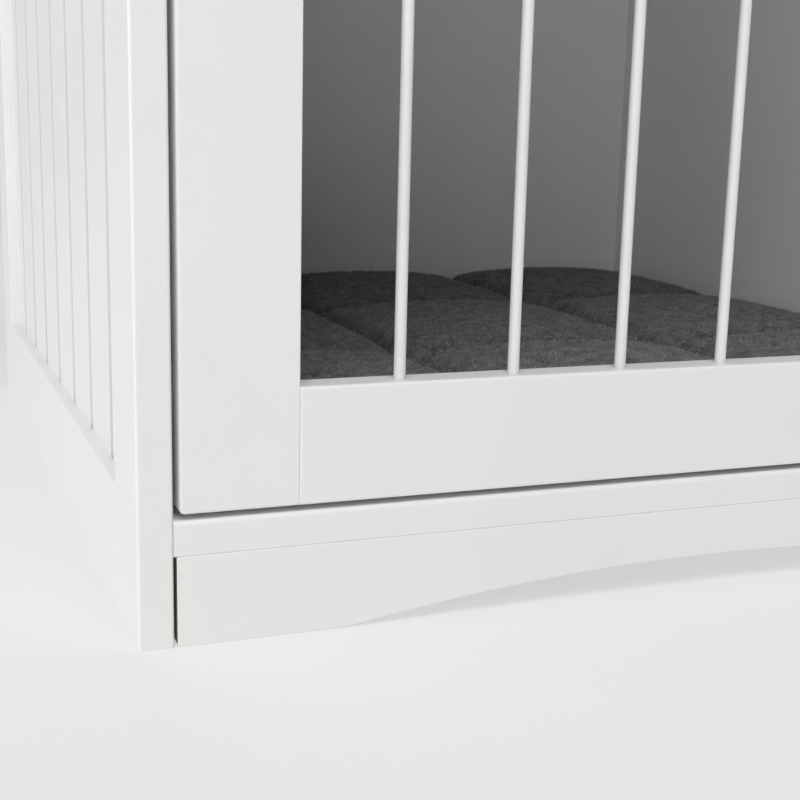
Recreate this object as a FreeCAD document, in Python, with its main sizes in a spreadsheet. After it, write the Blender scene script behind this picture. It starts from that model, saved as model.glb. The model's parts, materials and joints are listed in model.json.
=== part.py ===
import FreeCAD, Part
import math
import os

import Sketcher

V = FreeCAD.Vector

# Driving dimensions in millimetres, and counts: alias, value, meaning
SIZES = [
    ("body_width", 480, "over the outer faces of the two sides"),
    ("body_depth", 500, "front edge of the sides to the back"),
    ("body_height", 510, "floor to the top of the top panel"),
    ("board", 13, "thickness of every board"),
    ("edge_round", 1.2, "softened outer edges of the boards"),
    ("joint_round", 0.5, "eased edges along the butt joints"),
    ("side_stile", 45, "width of the uprights of a side"),
    ("side_bottom_rail", 50, "height of the bottom rail of a side"),
    ("side_top_rail", 45, "height of the top rail of a side"),
    ("side_panel", 7.5, "thickness of the grooved panel"),
    ("back_thickness", 6.5, "thickness of the back panel"),
    ("panel_rebate", 5, "how far a thin panel reaches into the boards around it"),
    ("groove_count", 7, "grooves in each panel"),
    ("groove_margin", 40, "stile edge to the first groove"),
    ("groove_width", 6, "mouth of a groove"),
    ("groove_depth", 2.5, "depth of a groove"),
    ("top_side_overhang", 8, "top panel past the sides"),
    ("top_front_overhang", 14, "top panel past the front"),
    ("top_round", 3, "rounded rim of the top panel"),
    ("top_corner", 6, "rounded front corners of the top panel"),
    ("floor_round", 2, "rounded front edge of the floor panel"),
    ("apron_height", 34, "floor to the underside of the floor panel"),
    ("apron_gap", 1.1, "gap between the apron's end and the side"),
    ("apron_foot", 63, "flat foot at each end of the apron"),
    ("arch_rise", 13.5, "height of the apron's arch"),
    ("arch_blend", 80, "radius between foot and arch"),
    ("door_gap", 2.3, "gap all round the door"),
    ("door_frame", 44, "width of the door's stiles and rails"),
    ("bar_count", 7, "bars in the door"),
    ("bar_margin", 40.3, "opening's edge to the first bar's axis"),
    ("bar_radius", 2.25, "radius of a bar"),
    ("bar_seat", 10, "how far a bar reaches into the rails"),
    ("cushion_gap", 4, "cushion to the walls around it"),
    ("cushion_crown", 34, "height of a quilted square"),
    ("cushion_seam", 22, "height at the sewn seams"),
    ("cushion_edge", 16, "height of the cushion's rim"),
    ("cushion_draw", 4, "how far the seams draw the sides in"),
    ("cushion_tuck", 5, "roundness of the cushion's sides"),
    ("quilt_columns", 3, "quilted squares across"),
    ("quilt_rows", 3, "quilted squares from front to back"),
    ("stop_size", 12, "section of the door stop"),
    ("stop_half_length", 150, "half the door stop's length"),
    ("stop_clear", 0.4, "shut door to the stop"),
    ("hinge_height", 50, "height of a hinge"),
    ("hinge_inset", 55, "door's end to the hinge's near end"),
    ("leaf_width", 11, "depth of a hinge leaf in the gap"),
    ("leaf_clear", 0.3, "between the folded leaves and the knuckles"),
    ("knuckle_radius", 2.5, "outer radius of the hinge barrel"),
    ("pin_radius", 1.5, "radius of the hinge pin"),
    ("pin_proud", 0.6, "pin past each end of the barrel"),
    ("pin_fit", 0.03, "running clearance of the pin"),
    ("bolt_radius", 3, "radius of the sliding bolt"),
    ("bolt_travel", 13, "how far the bolt slides to lock"),
    ("bolt_inset", 1.5, "door's edge to the bolt's plate and the withdrawn tip"),
    ("slide_clear", 0.4, "bolt to its guides and its plate"),
    ("plate", 1.2, "thickness of the bolt's and the keeper's plates"),
    ("plate_height", 24, "height of the bolt's plate"),
    ("plate_corner", 2, "bevelled corners of both plates"),
    ("guide_wall", 1.3, "metal around the bolt in a guide"),
    ("guide_width", 5, "length of a guide along the bolt"),
    ("knob_stem", 2.2, "radius of the knob's stem"),
    ("knob_radius", 5, "radius of the knob"),
    ("knob_head", 3.6, "thickness of the knob"),
    ("knob_bevel", 1.5, "bevel around the knob's face"),
    ("knob_clear", 0.5, "knob to the guides"),
    ("keeper_clear", 0.6, "bolt to the keeper's staple, so that a sagging door still locks"),
    ("keeper_round", 1.1, "rounded front edges of the keeper's staple"),
    ("keeper_width", 10, "width of the keeper"),
    ("keeper_height", 36, "height of the keeper"),
    ("screw_head", 2.5, "radius of a screw's head"),
    ("screw_sink", 0.6, "thickness of a screw's head"),
    ("screw_radius", 1.5, "radius of a screw's shank"),
    ("screw_length", 10, "length of a screw"),
    ("hinge_screw_inset", 9, "hinge's end to its screw"),
    ("plate_screw_inset", 4, "plate's edge to its screw"),
    ("fit_clear", 0.1, "clearance of a seated pin, dowel or screw"),
    ("tongue_width", 24, "width of the loose tongue in a frame joint"),
    ("tongue_thickness", 4, "thickness of the loose tongue"),
    ("tongue_reach", 12, "how far the tongue reaches into each piece"),
    ("tongue_shift", 2, "side frame's tongue from the middle of the board, away from the panel"),
    ("tongue_edge", 9, "rail's outer edge to its tongue"),
    ("dowel_radius", 3, "radius of a dowel and of a cam bolt's thread"),
    ("dowel_short", 8, "dowel or cam bolt in the face of a board"),
    ("dowel_long", 18, "dowel in the edge of a board"),
    ("cam_radius", 6, "radius of a cam lock"),
    ("cam_depth", 9.5, "depth of a cam lock"),
    ("cam_setback", 24, "board's edge to the middle of a cam lock"),
    ("cam_bolt_radius", 2.4, "radius of a cam bolt's shank"),
    ("cam_slot", 1.4, "width of a cam lock's driver slot"),
    ("fitting_inset", 60, "end of a joint to its first fitting"),
    ("fitting_step", 75, "first fitting to the second"),
]

doc = FreeCAD.newDocument("pet_crate")
dims = doc.addObject("Spreadsheet::Sheet", "Dims")
for row, (alias, value, meaning) in enumerate(SIZES, start=1):
    dims.set(f"A{row}", meaning)
    dims.set(f"B{row}", str(value))
    dims.setAlias(f"B{row}", alias)
doc.recompute()

# Places that several pieces share, as expressions: x from the middle, y from the middle of the
# top panel (front is negative), z from the floor
OUTER = "(Dims.body_width / 2)"
INNER = "(Dims.body_width / 2 - Dims.board)"
FRONT = "((Dims.top_front_overhang - Dims.body_depth) / 2)"
BACK = f"({FRONT} + Dims.body_depth)"
BACK_INNER = f"({BACK} - Dims.board)"
UNDER_TOP = "(Dims.body_height - Dims.board)"
FLOOR_TOP = "(Dims.apron_height + Dims.board)"
DOOR_HALF = f"({INNER} - Dims.door_gap)"
DOOR_BOTTOM = f"({FLOOR_TOP} + Dims.door_gap)"
DOOR_TOP = f"({UNDER_TOP} - Dims.door_gap)"
DOOR_MIDDLE = f"(({DOOR_BOTTOM} + {DOOR_TOP}) / 2)"
OPENING_HALF = f"({DOOR_HALF} - Dims.door_frame)"
OPENING_BOTTOM = f"({DOOR_BOTTOM} + Dims.door_frame)"
OPENING_TOP = f"({DOOR_TOP} - Dims.door_frame)"
FIELD_FRONT = f"({FRONT} + Dims.side_stile)"
FIELD_BACK = f"({BACK} - Dims.side_stile)"
MID_BOARD = f"({FRONT} + Dims.board / 2)"
FLOOR_MIDDLE = "(Dims.apron_height + Dims.board / 2)"
LEAF = "((Dims.door_gap - Dims.leaf_clear) / 2)"
HINGE_X = f"({INNER} - Dims.door_gap / 2)"
HINGE_Y = f"({FRONT} - Dims.knuckle_radius - Dims.leaf_clear)"
BOLT_HOLE = "(Dims.bolt_radius + Dims.slide_clear)"
BOLT_LIFT = f"(Dims.plate + {BOLT_HOLE})"
BOLT_Y = f"({FRONT} - {BOLT_LIFT})"
GUIDE_GAP = "(Dims.bolt_travel + 2 * Dims.knob_stem + 2 * Dims.knob_clear)"
PLATE_WIDTH = f"(3 * Dims.guide_width + {GUIDE_GAP})"
DOWEL_BORE = "(Dims.dowel_radius + Dims.fit_clear)"

# The back panel slides in grooves of the rear stiles and the top panel, and stands on the floor
BACK_PANEL = (
    (f"2 * ({INNER} + Dims.panel_rebate)", "Dims.back_thickness", f"{UNDER_TOP} + Dims.panel_rebate"),
    (f"-({INNER} + Dims.panel_rebate)", BACK_INNER, 0),
)

# Flat faces around a fluted dowel, bolt or screw shank, and around a wider disc or bore
PEG_SIDES = 8
DISC_SIDES = 10
ROUND_IN_FLATS = 1 / math.cos(math.pi / DISC_SIDES)

# Where the cushion's cross sections lie along a row of squares, and how full the row swells
ROW_SHARES = (0, 0.1, 0.25, 0.75, 0.9, 1)
CROWN_START = 0.25
CROWN_FULLNESS = 0.7
LEAST_CROWN = 0.08

# Lengths closer than this are taken as equal when edges are picked
NEAR = 1e-6

nodes = {}


def size(alias):
    return float(dims.get(alias))


def bind(thing, expressions):
    for path, expression in expressions.items():
        thing.setExpression(path, str(expression))


def put(thing, place, turn=None):
    if turn:
        thing.Placement = FreeCAD.Placement(V(), turn)
    bind(thing, {f"Placement.Base.{axis}": p for axis, p in zip("xyz", place)})
    return thing


def node(name, thing):
    thing.Label = name
    nodes[name] = thing
    return thing


def facing(inward, toward=None):
    """Turn that takes local +Z to inward and, where it matters, local +X to toward."""
    if toward is None:
        return FreeCAD.Rotation(V(0, 0, 1), inward)
    return FreeCAD.Rotation(toward, inward.cross(toward), inward, "ZXY")


def block(name, extent, corner):
    box = doc.addObject("Part::Box", name)
    bind(box, dict(zip(("Length", "Width", "Height"), extent)))
    return put(box, corner)


def rod(name, radius, length, start, along=V(0, 0, 1)):
    cylinder = doc.addObject("Part::Cylinder", name)
    bind(cylinder, {"Radius": radius, "Height": length})
    return put(cylinder, start, facing(along))


def peg(name, radius, length, start, along=V(0, 0, 1), sides=PEG_SIDES):
    """Fluted pin with flat faces between its corners."""
    prism = doc.addObject("Part::Prism", name)
    prism.Polygon = sides
    bind(prism, {"Circumradius": radius, "Height": length})
    return put(prism, start, facing(along))


def group(name, members):
    compound = doc.addObject("Part::Compound", name)
    compound.Links = members
    return compound


def fused(name, members):
    union = doc.addObject("Part::MultiFuse", name)
    union.Shapes = members
    return union


def carved(name, base, tools):
    cut = doc.addObject("Part::Cut", name)
    cut.Base = base
    cut.Tool = tools[0] if len(tools) == 1 else group(f"{name}_tools", tools)
    return cut


def origin_item(body, role):
    return next(item for item in body.Origin.OriginFeatures if item.Role == role)


def new_sketch(body, role, name):
    sketch = body.newObject("Sketcher::SketchObject", name)
    sketch.AttachmentSupport = [(origin_item(body, role), "")]
    sketch.MapMode = "FlatFace"
    return sketch


def constrain(sketch, kind, *arguments, name=None, bound=None):
    """Add one constraint; a dimension gets a name and is bound to its expression."""
    index = sketch.addConstraint(Sketcher.Constraint(kind, *arguments))
    if name:
        sketch.renameConstraint(index, name)
        sketch.setExpression(f"Constraints.{name}", bound)


def outline(sketch, points):
    """Closed run of straight lines through the points; returns the lines' numbers."""
    count = len(points)
    lines = []
    for index in range(count):
        start, end = points[index], points[(index + 1) % count]
        lines.append(sketch.addGeometry(Part.LineSegment(V(*start, 0), V(*end, 0)), False))
    for index in range(count):
        constrain(sketch, "Coincident", lines[index], 2, lines[(index + 1) % count], 1)
    return lines


def rectangle(sketch, width, height):
    """Rectangle from the sketch's origin."""
    low, right, high, left = outline(sketch, [(0, 0), (10, 0), (10, 10), (0, 10)])
    constrain(sketch, "Coincident", low, 1, -1, 1)
    for line in (low, high):
        constrain(sketch, "Horizontal", line)
    for line in (right, left):
        constrain(sketch, "Vertical", line)
    constrain(sketch, "DistanceX", low, 1, low, 2, 10, name="width", bound=width)
    constrain(sketch, "DistanceY", right, 1, right, 2, 10, name="height", bound=height)


def pad(body, sketch, length, reverse=False):
    feature = body.newObject("PartDesign::Pad", f"{sketch.Name}_pad")
    feature.Profile = sketch
    feature.Reversed = reverse
    feature.setExpression("Length", length)
    return feature


def edges_at(shape, codes):
    """Names of the edges that the codes give, one sign for each axis: - low, + high, 0 along."""
    box = shape.BoundBox
    lows = (box.XMin, box.YMin, box.ZMin)
    highs = (box.XMax, box.YMax, box.ZMax)
    found = []
    for number, edge in enumerate(shape.Edges, start=1):
        span = edge.BoundBox
        low = (span.XMin, span.YMin, span.ZMin)
        high = (span.XMax, span.YMax, span.ZMax)
        for code in codes:
            fits = {
                "-": lambda i: high[i] < lows[i] + NEAR,
                "+": lambda i: low[i] > highs[i] - NEAR,
                "0": lambda i: high[i] - low[i] > (highs[i] - lows[i]) / 2,
            }
            if all(fits[sign](axis) for axis, sign in enumerate(code)):
                found.append(f"Edge{number}")
    return found


def rounded(body, base, edges, radius):
    fillet = body.newObject("PartDesign::Fillet", f"{base.Name}_round")
    fillet.Base = (base, edges)
    fillet.setExpression("Radius", radius)
    doc.recompute()
    return fillet


def bevelled(body, base, edges, width):
    chamfer = body.newObject("PartDesign::Chamfer", f"{base.Name}_bevel")
    chamfer.Base = (base, edges)
    chamfer.setExpression("Size", width)
    doc.recompute()
    return chamfer


def board(name, extent, corner, soft=()):
    """Rectangular board; soft lists (radius, edge codes)."""
    body = doc.addObject("PartDesign::Body", name)
    sketch = new_sketch(body, "XY_Plane", f"{name}_outline")
    rectangle(sketch, extent[0], extent[1])
    feature = pad(body, sketch, extent[2])
    doc.recompute()
    for radius, codes in soft:
        feature = rounded(body, feature, edges_at(feature.Shape, codes), radius)
    return put(body, corner)


def screw(name, place, into):
    """Flat-headed screw, its head flush at the place, and the stepped bore that it fills."""
    turn = facing(into)
    pieces = []
    for kind, extra in (("body", "0"), ("way", "Dims.fit_clear")):
        head = peg(f"{name}_{kind}_head", f"Dims.screw_head + {extra}", "Dims.screw_sink",
                   (0, 0, 0), sides=DISC_SIDES)
        shank = peg(f"{name}_{kind}_shank", f"Dims.screw_radius + {extra}",
                    f"Dims.screw_length + {extra}", (0, 0, 0))
        pieces.append(put(fused(f"{name}_{kind}", [head, shank]), place, turn))
    return pieces


def dowel(name, place, along, before, after):
    """Dowel through the joint plane at place: before and after are its two reaches."""
    length = f"{before} + {after}"
    pin = peg(f"{name}_pin", "Dims.dowel_radius", length, (0, 0, f"-({before})"))
    bore = peg(f"{name}_bore", DOWEL_BORE, f"{length} + 2 * Dims.fit_clear",
               (0, 0, f"-({before}) - Dims.fit_clear"))
    turn = facing(along)
    return put(group(name, [pin]), place, turn), put(group(f"{name}_way", [bore]), place, turn)


def cam_fitting(name, place, inward, toward):
    """Cam lock let into a face at place, its bolt reaching toward the board that it draws in.

    Returns the lock, the bolt and the bores for both.
    """
    depth = "Dims.cam_depth"
    middle = "Dims.board / 2"
    way = "(Dims.cam_bolt_radius + Dims.fit_clear)"
    disc = peg(f"{name}_disc", "Dims.cam_radius", depth, (0, 0, 0), sides=DISC_SIDES)
    mouth = block(f"{name}_mouth", ("Dims.cam_radius", f"2 * {way}", f"2 * {way}"),
                  (0, f"-{way}", f"{middle} - {way}"))
    slot = block(f"{name}_slot", ("Dims.cam_radius", "Dims.cam_slot", "Dims.cam_slot"),
                 ("-Dims.cam_radius / 2", "-Dims.cam_slot / 2", 0))
    lock = carved(f"{name}_lock", disc, [mouth, slot])
    shank = peg(f"{name}_shank", "Dims.cam_bolt_radius", "Dims.cam_setback - Dims.fit_clear",
                ("Dims.fit_clear", 0, middle), V(1, 0, 0))
    thread = peg(f"{name}_thread", "Dims.dowel_radius", "Dims.dowel_short",
                 ("Dims.cam_setback", 0, middle), V(1, 0, 0))
    bolt = fused(f"{name}_bolt", [shank, thread])
    seat = peg(f"{name}_seat", "Dims.cam_radius + Dims.fit_clear", f"{depth} + Dims.fit_clear",
               (0, 0, 0), sides=DISC_SIDES)
    shank_way = peg(f"{name}_shank_way", way, "Dims.cam_setback", (0, 0, middle), V(1, 0, 0))
    thread_way = peg(f"{name}_thread_way", DOWEL_BORE, "Dims.dowel_short + Dims.fit_clear",
                     ("Dims.cam_setback", 0, middle), V(1, 0, 0))
    bores = fused(f"{name}_bores", [seat, shank_way, thread_way])
    turn = facing(inward, toward)
    for piece in (lock, bolt, bores):
        put(piece, place, turn)
    return lock, bolt, bores


def plus(place, *shifts):
    """Place moved by one expression for each axis."""
    return tuple(f"({p}) + ({shift})" for p, shift in zip(place, shifts))


X, Y, Z = V(1, 0, 0), V(0, 1, 0), V(0, 0, 1)

bores = {}
tongues = {"left_side": [], "right_side": [], "door": []}
dowels = []
hinge_screws = {"frame": [], "door": []}
cam_locks = []
cam_bolts = []


def drill(tool, *boards):
    for name in boards:
        bores.setdefault(name, []).append(tool)


def add_tongue(frame, rail, stile, place, along_y):
    """Loose flat tongue glued into both pieces of a butt joint, centred on place."""
    name = f"{frame}_tongue_{len(tongues[frame])}"
    for key, extra in (("key", "0"), ("way", "Dims.fit_clear")):
        reach = f"(Dims.tongue_reach + {extra})"
        thick = f"(Dims.tongue_thickness / 2 + {extra})"
        wide = f"(Dims.tongue_width / 2 + {extra})"
        halves = (thick, reach, wide) if along_y else (reach, thick, wide)
        extent = [f"2 * {half}" for half in halves]
        piece = block(f"{name}_{key}", extent, plus(place, *[f"-{half}" for half in halves]))
        if key == "key":
            tongues[frame].append(piece)
        else:
            drill(piece, rail, stile)


def add_dowel(place, along, *boards):
    """Dowel through the joint plane at place, long in the first board and short in the second."""
    name = f"dowel_{len(dowels)}"
    pin, way = dowel(name, place, along, "Dims.dowel_long", "Dims.dowel_short")
    dowels.append(pin)
    drill(way, *boards)


def add_cam(place, inward, toward, *boards):
    lock, bolt, ways = cam_fitting(f"cam_{len(cam_locks)}", place, inward, toward)
    cam_locks.append(lock)
    cam_bolts.append(bolt)
    drill(ways, *boards)


def plan_fittings():
    """Tongues of the side and door frames, cam locks and dowels of the carcass."""
    tongue = "(Dims.tongue_edge + Dims.tongue_width / 2)"
    for side, sign in (("left", -1), ("right", 1)):
        out = V(sign, 0, 0)
        wall = f"{sign} * {INNER}"
        mid = f"{sign} * ({INNER} + Dims.board / 2)"
        for rail, z in (("bottom_rail", tongue), ("top_rail", f"{UNDER_TOP} - {tongue}")):
            for stile, y in (("front_stile", FIELD_FRONT), ("rear_stile", FIELD_BACK)):
                add_tongue(f"{side}_side", f"{side}_{rail}", f"{side}_{stile}",
                           (f"{mid} + {sign} * Dims.tongue_shift", y, z), along_y=True)
        for rail, z in (("bottom", f"{DOOR_BOTTOM} + {tongue}"), ("top", f"{DOOR_TOP} - {tongue}")):
            add_tongue("door", f"door_{rail}_rail", f"door_{side}_stile",
                       (f"{sign} * {OPENING_HALF}", MID_BOARD, z), along_y=False)
        cam_x = f"{sign} * ({INNER} - Dims.cam_setback)"
        cam_z = f"{UNDER_TOP} - Dims.cam_setback"
        for end, way in ((FIELD_FRONT, 1), (FIELD_BACK, -1)):
            near = f"{end} + {way} * Dims.fitting_inset"
            far = f"{near} + {way} * Dims.fitting_step"
            add_cam((cam_x, near, "Dims.apron_height"), Z, out, "floor_panel", f"{side}_bottom_rail")
            add_cam((wall, near, cam_z), out, Z, f"{side}_top_rail", "top_panel")
            add_dowel((wall, far, FLOOR_MIDDLE), out, "floor_panel", f"{side}_bottom_rail")
            add_dowel((mid, far, UNDER_TOP), Z, f"{side}_top_rail", "top_panel")
        add_dowel((f"{sign} * {INNER} / 2", MID_BOARD, "Dims.apron_height"), Z,
                  "front_apron", "floor_panel")


def finish_board(name, blank, cuts=()):
    """Board with its own cuts and the bores that the fittings need."""
    tools = list(cuts) + bores.get(name, [])
    return node(name, carved(f"{name}_cut", blank, tools) if tools else blank)


def side_frame(side, sign):
    """Two stiles and two rails around a grooved panel that lies flush inside."""
    out, within = ("-", "+") if sign < 0 else ("+", "-")
    x = f"-{OUTER}" if sign < 0 else INNER
    panel_x = f"{sign} * ({INNER} + Dims.side_panel / 2) - Dims.side_panel / 2"
    reach = "Dims.panel_rebate"
    panel_extent = (
        "Dims.side_panel",
        f"{FIELD_BACK} - {FIELD_FRONT} + 2 * {reach}",
        f"{UNDER_TOP} - Dims.side_top_rail - Dims.side_bottom_rail + 2 * {reach}",
    )
    panel_corner = (panel_x, f"{FIELD_FRONT} - {reach}", f"Dims.side_bottom_rail - {reach}")
    stile = ("Dims.board", "Dims.side_stile", UNDER_TOP)
    long_edges = [f"{out}-0", f"{within}-0"]
    stiles = (
        ("front_stile", FRONT,
         [("Dims.edge_round", long_edges), ("Dims.joint_round", [f"{out}+0"])]),
        ("rear_stile", FIELD_BACK,
         [("Dims.edge_round", [f"{out}+0"]), ("Dims.joint_round", [f"{out}-0"])]),
    )
    for name, y, soft in stiles:
        cuts = [block(f"{side}_{name}_rebate", panel_extent, panel_corner)]
        if name == "rear_stile":
            cuts.append(block(f"{side}_back_groove", *BACK_PANEL))
        blank = board(f"{side}_{name}_blank", stile, (x, y, 0), soft)
        finish_board(f"{side}_{name}", blank, cuts)
    length = f"{FIELD_BACK} - {FIELD_FRONT}"
    rails = (
        ("bottom_rail", "Dims.side_bottom_rail", 0, f"{out}0+"),
        ("top_rail", "Dims.side_top_rail", f"{UNDER_TOP} - Dims.side_top_rail", f"{out}0-"),
    )
    for name, height, z, edge in rails:
        rebate = block(f"{side}_{name}_rebate", panel_extent, panel_corner)
        blank = board(f"{side}_{name}_blank", ("Dims.board", length, height), (x, FIELD_FRONT, z),
                      [("Dims.joint_round", [edge])])
        finish_board(f"{side}_{name}", blank, [rebate])
    grooved_panel(f"{side}_grooved_panel", panel_extent, panel_corner, sign)


def grooved_panel(name, extent, corner, sign):
    """Thin panel with upright V grooves in its outer face."""
    body = doc.addObject("PartDesign::Body", name)
    sheet = new_sketch(body, "XY_Plane", f"{name}_outline")
    rectangle(sheet, extent[0], extent[1])
    pad(body, sheet, extent[2])
    groove = new_sketch(body, "XY_Plane", f"{name}_groove")
    face = "0" if sign < 0 else "Dims.side_panel"
    face_x = 0 if sign < 0 else size("side_panel")
    tip_x = face_x - sign * size("groove_depth")
    start = size("panel_rebate") + size("groove_margin")
    half = size("groove_width") / 2
    mouth, rise, fall = outline(groove, [(face_x, start - half), (face_x, start + half), (tip_x, start)])
    constrain(groove, "Vertical", mouth)
    constrain(groove, "Equal", rise, fall)
    constrain(groove, "DistanceY", mouth, 1, mouth, 2, 2 * half, name="width", bound="Dims.groove_width")
    constrain(groove, "DistanceY", -1, 1, fall, 1, start, name="start",
              bound="Dims.panel_rebate + Dims.groove_margin")
    if sign < 0:
        constrain(groove, "PointOnObject", mouth, 1, -2)
        constrain(groove, "DistanceX", mouth, 1, fall, 1, size("groove_depth"), name="depth",
                  bound="Dims.groove_depth")
    else:
        constrain(groove, "DistanceX", -1, 1, mouth, 1, face_x, name="face", bound=face)
        constrain(groove, "DistanceX", fall, 1, mouth, 1, size("groove_depth"), name="depth",
                  bound="Dims.groove_depth")
    pocket = body.newObject("PartDesign::Pocket", f"{name}_pocket")
    pocket.Profile = groove
    pocket.Reversed = True
    pocket.Type = "Length"
    pocket.setExpression("Length", extent[2])
    doc.recompute()
    row = body.newObject("PartDesign::LinearPattern", f"{name}_row")
    row.Originals = [pocket]
    row.Direction = (origin_item(body, "Y_Axis"), [""])
    row.Occurrences = int(size("groove_count"))
    row.setExpression("Length", f"{extent[1]} - 2 * (Dims.panel_rebate + Dims.groove_margin)")
    body.Tip = row
    node(name, put(body, corner))


def carcass_boards():
    """Floor, back and top panels and the strip that stops the door."""
    width = f"2 * {INNER}"
    left = f"-{INNER}"
    floor = board("floor_blank", (width, f"{BACK_INNER} - {FRONT}", "Dims.board"),
                  (left, FRONT, "Dims.apron_height"),
                  [("Dims.floor_round", ["0-+"]), ("Dims.joint_round", ["0--"])])
    finish_board("floor_panel", floor)
    finish_board("back_panel", board("back_blank", *BACK_PANEL))
    top = board("top_blank",
                (f"2 * ({OUTER} + Dims.top_side_overhang)", f"{BACK} - {FRONT} + Dims.top_front_overhang",
                 "Dims.board"),
                (f"-({OUTER} + Dims.top_side_overhang)", f"{FRONT} - Dims.top_front_overhang", UNDER_TOP),
                [("Dims.top_corner", ["--0", "+-0"]), ("Dims.top_round", ["0-+"])])
    stop_y = f"{FRONT} + Dims.board + Dims.stop_clear"
    stop_z = f"{UNDER_TOP} - Dims.stop_size"
    stop = board("stop_blank", ("2 * Dims.stop_half_length", "Dims.stop_size", "Dims.stop_size"),
                 ("-Dims.stop_half_length", stop_y, stop_z), [("Dims.joint_round", ["0--", "0+-"])])
    finish_board("door_stop", stop)
    finish_board("top_panel", top, [block("top_back_groove", *BACK_PANEL)])


def front_apron():
    """Plinth with a long shallow arch between two flat feet."""
    length = f"(2 * ({INNER} - Dims.apron_gap))"
    span = f"({INNER} - Dims.apron_gap - Dims.apron_foot)"
    radius = f"({span} ^ 2 + Dims.arch_rise ^ 2) / (2 * Dims.arch_rise)"
    half = size("body_width") / 2 - size("board") - size("apron_gap")
    foot = size("apron_foot")
    rise = size("arch_rise")
    height = size("apron_height")
    reach = half - foot
    arch_radius = (reach ** 2 + rise ** 2) / (2 * rise)
    half_angle = math.asin(reach / arch_radius)
    body = doc.addObject("PartDesign::Body", "apron_blank")
    sketch = new_sketch(body, "XZ_Plane", "apron_outline")
    corners = [(2 * half - foot, 0), (2 * half, 0), (2 * half, height), (0, height), (0, 0), (foot, 0)]
    lines = []
    for start, end in zip(corners, corners[1:]):
        lines.append(sketch.addGeometry(Part.LineSegment(V(*start, 0), V(*end, 0)), False))
    right_foot, right, top, left, left_foot = lines
    circle = Part.Circle(V(half, rise - arch_radius, 0), V(0, 0, 1), arch_radius)
    arch = sketch.addGeometry(
        Part.ArcOfCircle(circle, math.pi / 2 - half_angle, math.pi / 2 + half_angle), False)
    for first, second in zip(lines, lines[1:]):
        constrain(sketch, "Coincident", first, 2, second, 1)
    constrain(sketch, "Coincident", arch, 2, left_foot, 2)
    constrain(sketch, "Coincident", arch, 1, right_foot, 1)
    constrain(sketch, "Coincident", left, 2, -1, 1)
    for line in (left_foot, right_foot, top):
        constrain(sketch, "Horizontal", line)
    for line in (left, right):
        constrain(sketch, "Vertical", line)
    constrain(sketch, "Equal", left_foot, right_foot)
    constrain(sketch, "DistanceX", left_foot, 1, left_foot, 2, foot, name="foot", bound="Dims.apron_foot")
    constrain(sketch, "DistanceX", top, 2, top, 1, 2 * half, name="length", bound=length)
    constrain(sketch, "DistanceY", left, 2, left, 1, height, name="height", bound="Dims.apron_height")
    constrain(sketch, "Radius", arch, arch_radius, name="arch", bound=radius)
    feature = pad(body, sketch, "Dims.board", reverse=True)
    doc.recompute()
    ends = []
    for number, edge in enumerate(feature.Shape.Edges, start=1):
        middle = edge.CenterOfMass
        off = min(abs(middle.x - foot), abs(middle.x - 2 * half + foot))
        if abs(middle.z) < NEAR and off < NEAR:
            ends.append(f"Edge{number}")
    feature = rounded(body, feature, ends, "Dims.arch_blend")
    front = [f"Edge{number}" for number, edge in enumerate(feature.Shape.Edges, start=1)
             if edge.BoundBox.YMax < NEAR]
    rounded(body, feature, front, "Dims.joint_round")
    put(body, (f"-{length} / 2", FRONT, 0))
    finish_board("front_apron", body)


def door_frame():
    """Two stiles, two rails between them and the row of bars."""
    for side, sign in (("left", -1), ("right", 1)):
        out, within = ("-", "+") if sign < 0 else ("+", "-")
        x = f"-{DOOR_HALF}" if sign < 0 else OPENING_HALF
        outer = [f"{out}-0", f"{out}+0", "0--", "0-+"]
        blank = board(f"door_{side}_blank", ("Dims.door_frame", "Dims.board", f"{DOOR_TOP} - {DOOR_BOTTOM}"),
                      (x, FRONT, DOOR_BOTTOM),
                      [("Dims.edge_round", outer), ("Dims.joint_round", [f"{within}-0"])])
        finish_board(f"door_{side}_stile", blank)
    count = int(size("bar_count"))
    pitch = f"(2 * ({OPENING_HALF} - Dims.bar_margin) / (Dims.bar_count - 1))"
    bore = f"(Dims.bar_radius + Dims.fit_clear) * {ROUND_IN_FLATS}"
    low = f"{OPENING_BOTTOM} - Dims.bar_seat"
    length = f"{OPENING_TOP} - {OPENING_BOTTOM} + 2 * Dims.bar_seat"
    for index in range(count):
        place = (f"Dims.bar_margin - {OPENING_HALF} + {index} * {pitch}", MID_BOARD, low)
        node(f"door_bar_{index + 1}", rod(f"bar_{index}", "Dims.bar_radius", length, place))
        way = peg(f"bar_way_{index}", bore, length, place, sides=DISC_SIDES)
        drill(way, "door_bottom_rail", "door_top_rail")
    for name, z in (("bottom", DOOR_BOTTOM), ("top", OPENING_TOP)):
        blank = board(f"door_{name}_blank", (f"2 * {OPENING_HALF}", "Dims.board", "Dims.door_frame"),
                      (f"-{OPENING_HALF}", FRONT, z),
                      [("Dims.edge_round", ["0--", "0-+"])])
        finish_board(f"door_{name}_rail", blank)


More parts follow.
